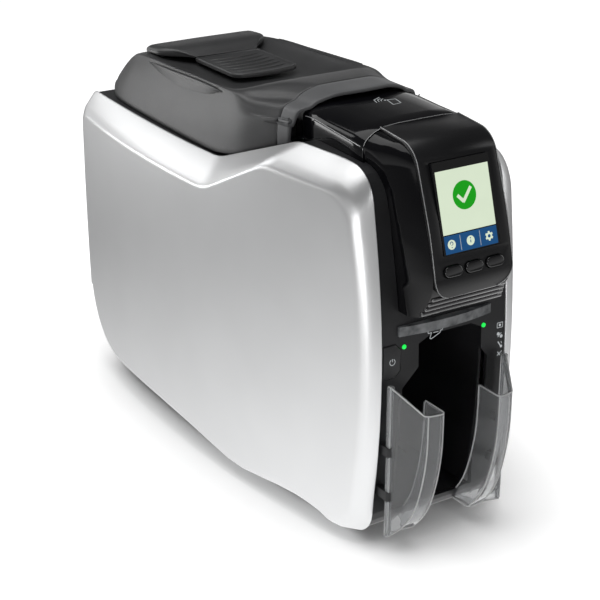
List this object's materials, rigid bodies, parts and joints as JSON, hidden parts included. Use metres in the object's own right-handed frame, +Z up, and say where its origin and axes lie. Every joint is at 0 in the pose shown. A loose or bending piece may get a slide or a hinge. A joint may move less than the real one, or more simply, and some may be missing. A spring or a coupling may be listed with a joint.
{
  "type": "identity card printer",
  "caption": "Narrow desktop card printer with silver side panels, a hinged ribbon lid, a tilted display head and a front card bin between clear hopper wings.",
  "frame": {"origin": "centre of the base outline, on the surface that the feet stand on", "axes": "+X to the right seen from the front, +Y to the rear, +Z up"},
  "size_m": [0.158, 0.3853, 0.265],
  "materials": {
    "silver": "satin silver",
    "black_plastic": "fine matt texture",
    "lid_plastic": "fine matt texture",
    "gloss_black": "polished",
    "grey_band": "satin",
    "button_grey": "satin",
    "screen": "lit screen under clear glass",
    "board": "solder mask",
    "lamp": "translucent grey",
    "led": "clear green",
    "clear_plastic": "clear polished plastic",
    "steel": "bright sheet and rod",
    "roller_rubber": "ground rubber on steel shafts",
    "rubber": "moulded",
    "gear_white": "moulded acetal",
    "brass": "machined",
    "spool": "moulded",
    "film": "wound dye film",
    "ceramic": "glazed ceramic"
  },
  "bodies": {
    "body": {"left_side_panel": "silver", "right_side_panel": "silver", "base_tray": "black_plastic", "rubber_feet": "rubber", "front_frame": "black_plastic", "rear_panel": "black_plastic", "top_deck": "black_plastic", "head_housing": "gloss_black", "display_face": "gloss_black", "display_screen": "screen", "display_board": "board", "head_cover": "lid_plastic", "light_bar": "lamp", "status_leds": "led", "card_bin": "black_plastic", "wing_hinge_pins": "steel", "left_frame_plate": "steel", "right_frame_plate": "steel", "lid_hinge_pins": "steel", "latch_catch": "steel", "idler_stud": "steel", "drive_motor": "steel", "feed_motor": "steel", "main_board": "board", "power_inlet": "black_plastic", "data_ports": "steel"},
    "lid": {"lid_shell": "lid_plastic", "arch_band": "grey_band", "lid_rear_cap": "lid_plastic", "lid_ribs": "lid_plastic", "button_pivots": "lid_plastic", "latch_shaft": "steel", "printhead_bracket": "steel", "printhead": "ceramic"},
    "release_button": {"release_button": "lid_plastic"},
    "latch": {"latch_hooks": "steel"},
    "left_wing": {"left_hopper_wing": "clear_plastic"},
    "right_wing": {"right_hopper_wing": "clear_plastic"},
    "left_key": {"left_key": "gloss_black"},
    "middle_key": {"middle_key": "gloss_black"},
    "right_key": {"right_key": "gloss_black"},
    "power_button": {"power_button": "button_grey"},
    "platen": {"platen_roller": "roller_rubber", "platen_gear": "gear_white"},
    "idler": {"idler_gear": "gear_white"},
    "exit": {"exit_roller": "roller_rubber", "exit_gear": "gear_white"},
    "pinion": {"motor_pinion": "brass"},
    "feed": {"feed_roller": "roller_rubber", "feed_gear": "gear_white"},
    "feed_pinion": {"feed_pinion": "brass"},
    "supply": {"supply_spindle": "spool", "supply_roll": "film"},
    "takeup": {"takeup_spindle": "spool", "takeup_roll": "film"}
  },
  "joints": [
    {"name": "lid_hinge", "type": "hinge", "parent": "body", "child": "lid", "pos_m": [0, 0.177, 0.208], "axis": [-1, 0, 0], "range_deg": [0, 75]},
    {"name": "release_press", "type": "hinge", "parent": "lid", "child": "release_button", "pos_m": [0, 0.096, 0.2492], "axis": [1, 0, 0], "range_deg": [0, 1.9], "stiffness_Nm_per_rad": 4},
    {"name": "latch_swing", "type": "hinge", "parent": "lid", "child": "latch", "pos_m": [0, -0.036, 0.226], "axis": [-1, 0, 0], "range_deg": [0, 7.6]},
    {"name": "left_wing_hinge", "type": "hinge", "parent": "body", "child": "left_wing", "pos_m": [-0.0425, -0.1695, 0.06], "axis": [0, 0, -1], "range_deg": [0, 90]},
    {"name": "right_wing_hinge", "type": "hinge", "parent": "body", "child": "right_wing", "pos_m": [0.0425, -0.1695, 0.06], "axis": [0, 0, 1], "range_deg": [0, 90]},
    {"name": "left_key_press", "type": "slide", "parent": "body", "child": "left_key", "axis": [0, 0.9583, -0.2857], "range_m": [0, 0.0005], "stiffness_N_per_m": 800},
    {"name": "middle_key_press", "type": "slide", "parent": "body", "child": "middle_key", "axis": [0, 0.9583, -0.2857], "range_m": [0, 0.0005], "stiffness_N_per_m": 800},
    {"name": "right_key_press", "type": "slide", "parent": "body", "child": "right_key", "axis": [0, 0.9583, -0.2857], "range_m": [0, 0.0005], "stiffness_N_per_m": 800},
    {"name": "power_press", "type": "slide", "parent": "body", "child": "power_button", "axis": [0, 1, 0], "range_m": [0, 0.001], "stiffness_N_per_m": 800},
    {"name": "platen_spin", "type": "hinge", "parent": "body", "child": "platen", "pos_m": [0, 0.03, 0.12], "axis": [1, 0, 0], "continuous": true},
    {"name": "idler_spin", "type": "hinge", "parent": "body", "child": "idler", "pos_m": [0, -0.01415, 0.10707], "axis": [1, 0, 0], "continuous": true},
    {"name": "exit_spin", "type": "hinge", "parent": "body", "child": "exit", "pos_m": [0, -0.052, 0.12], "axis": [1, 0, 0], "continuous": true},
    {"name": "pinion_spin", "type": "hinge", "parent": "body", "child": "pinion", "pos_m": [0, 0.03, 0.098], "axis": [1, 0, 0], "continuous": true},
    {"name": "feed_spin", "type": "hinge", "parent": "body", "child": "feed", "pos_m": [0, -0.095, 0.0153], "axis": [1, 0, 0], "continuous": true},
    {"name": "feed_pinion_spin", "type": "hinge", "parent": "body", "child": "feed_pinion", "pos_m": [0, -0.089, 0.02569], "axis": [1, 0, 0], "continuous": true},
    {"name": "supply_spin", "type": "hinge", "parent": "body", "child": "supply", "pos_m": [0, 0.1, 0.176], "axis": [1, 0, 0], "continuous": true},
    {"name": "takeup_spin", "type": "hinge", "parent": "body", "child": "takeup", "pos_m": [0, -0.022, 0.176], "axis": [1, 0, 0], "continuous": true}
  ],
  "couplings": [
    {"joint": "latch_swing", "follows": "release_press", "ratio": 4},
    {"joint": "idler_spin", "follows": "platen_spin", "ratio": -0.53333},
    {"joint": "exit_spin", "follows": "platen_spin", "ratio": 1.6},
    {"joint": "pinion_spin", "follows": "platen_spin", "ratio": -2.6667},
    {"joint": "feed_pinion_spin", "follows": "feed_spin", "ratio": -1}
  ]
}
